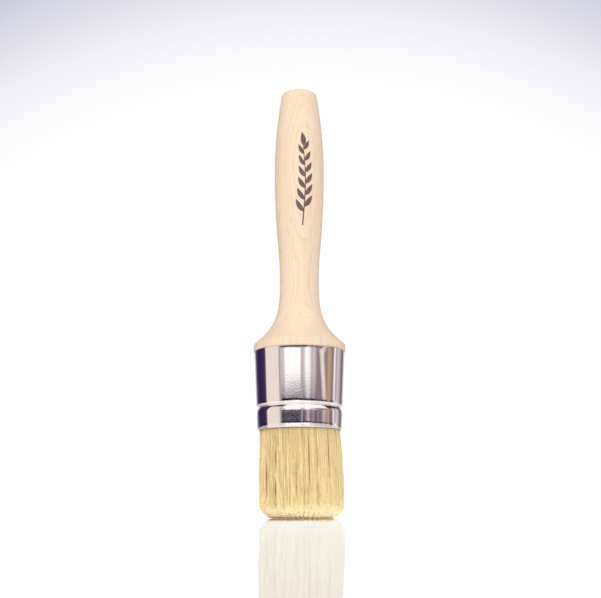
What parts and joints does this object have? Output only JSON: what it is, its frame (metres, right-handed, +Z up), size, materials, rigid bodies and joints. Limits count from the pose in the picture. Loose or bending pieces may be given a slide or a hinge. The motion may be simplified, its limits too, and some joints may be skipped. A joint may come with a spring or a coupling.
{
  "type": "round wax brush",
  "caption": "Round bristle brush with a turned beech handle, flared collar, polished metal ferrule and a dense knot of pale natural bristles with rounded tips.",
  "frame": {"origin": "centre of the flat that the bristle tips stand on", "axes": "+Z up the axis of the brush, from the bristle tips to the end of the handle; X and Y across it, with the visible fixing pin 33 degrees round from -Y towards +X"},
  "size_m": [0.0544, 0.0544, 0.262],
  "materials": {
    "beech": "satin",
    "plated_steel": "polished",
    "pin_steel": "satin",
    "resin": "gloss",
    "plug_wood": "matte",
    "bristle": "satin"
  },
  "bodies": {
    "root": {"handle": "beech", "ferrule": "plated_steel", "fixing_pins": "pin_steel", "epoxy_setting": "resin", "filler_plug": "plug_wood", "bristle_bundle": "bristle"}
  },
  "joints": []
}
